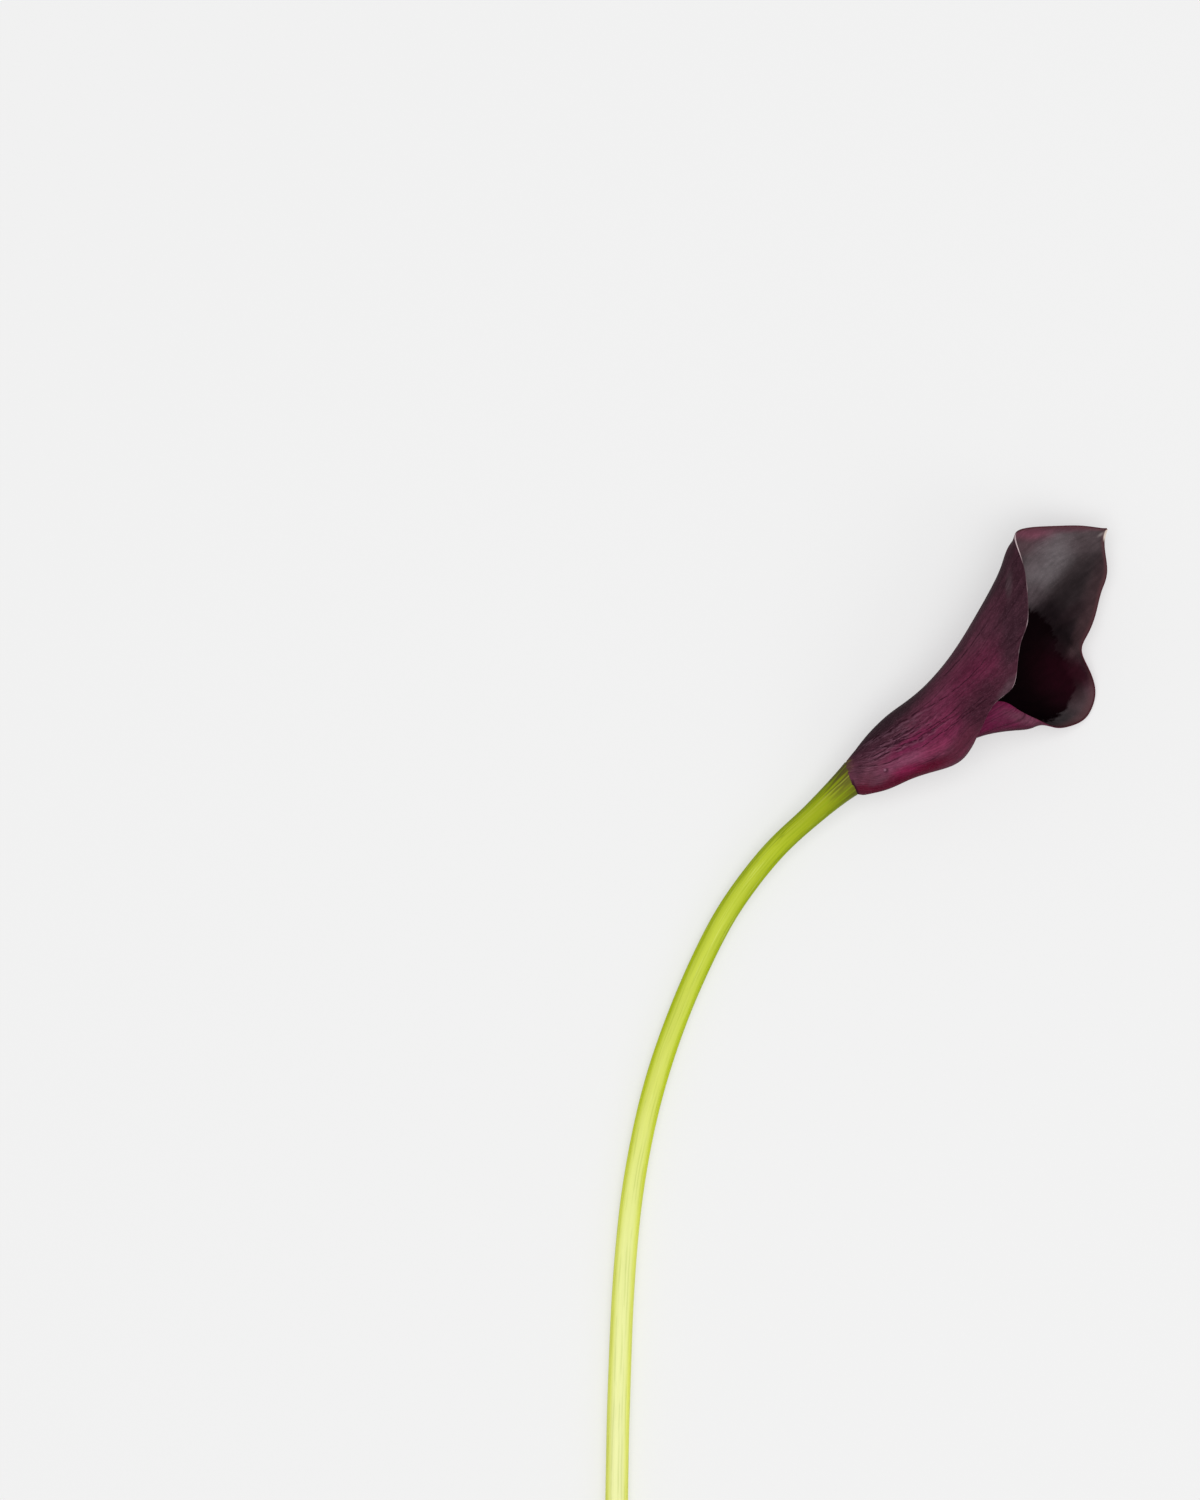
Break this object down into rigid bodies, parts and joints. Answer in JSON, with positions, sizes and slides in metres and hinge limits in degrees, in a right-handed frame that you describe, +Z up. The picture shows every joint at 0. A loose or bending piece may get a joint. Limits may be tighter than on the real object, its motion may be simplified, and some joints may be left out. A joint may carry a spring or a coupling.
{
  "type": "calla lily flower",
  "caption": "Cut calla lily laid on a surface: a long curved stem carrying a rolled, dark purple funnel-shaped spathe round a slim spadix.",
  "frame": {"origin": "middle of the lying flower's box, on the surface it lies on", "axes": "+Z up, away from the surface; +Y from the stem's cut end towards the bloom, the longest way; +X towards the side to which the bloom leans"},
  "size_m": [0.1618, 0.3592, 0.0446],
  "materials": {
    "stem": "smooth waxy green stalk, faintly ridged lengthwise, paler towards the cut end",
    "spathe": "satin, almost black maroon with magenta outside and a soft velvet sheen inside, fine lengthwise veins",
    "spadix": "matt, close-set dark maroon florets with a dust of pale pollen"
  },
  "bodies": {
    "root": {"stem": "stem", "spathe": "spathe", "spadix": "spadix"}
  },
  "joints": []
}
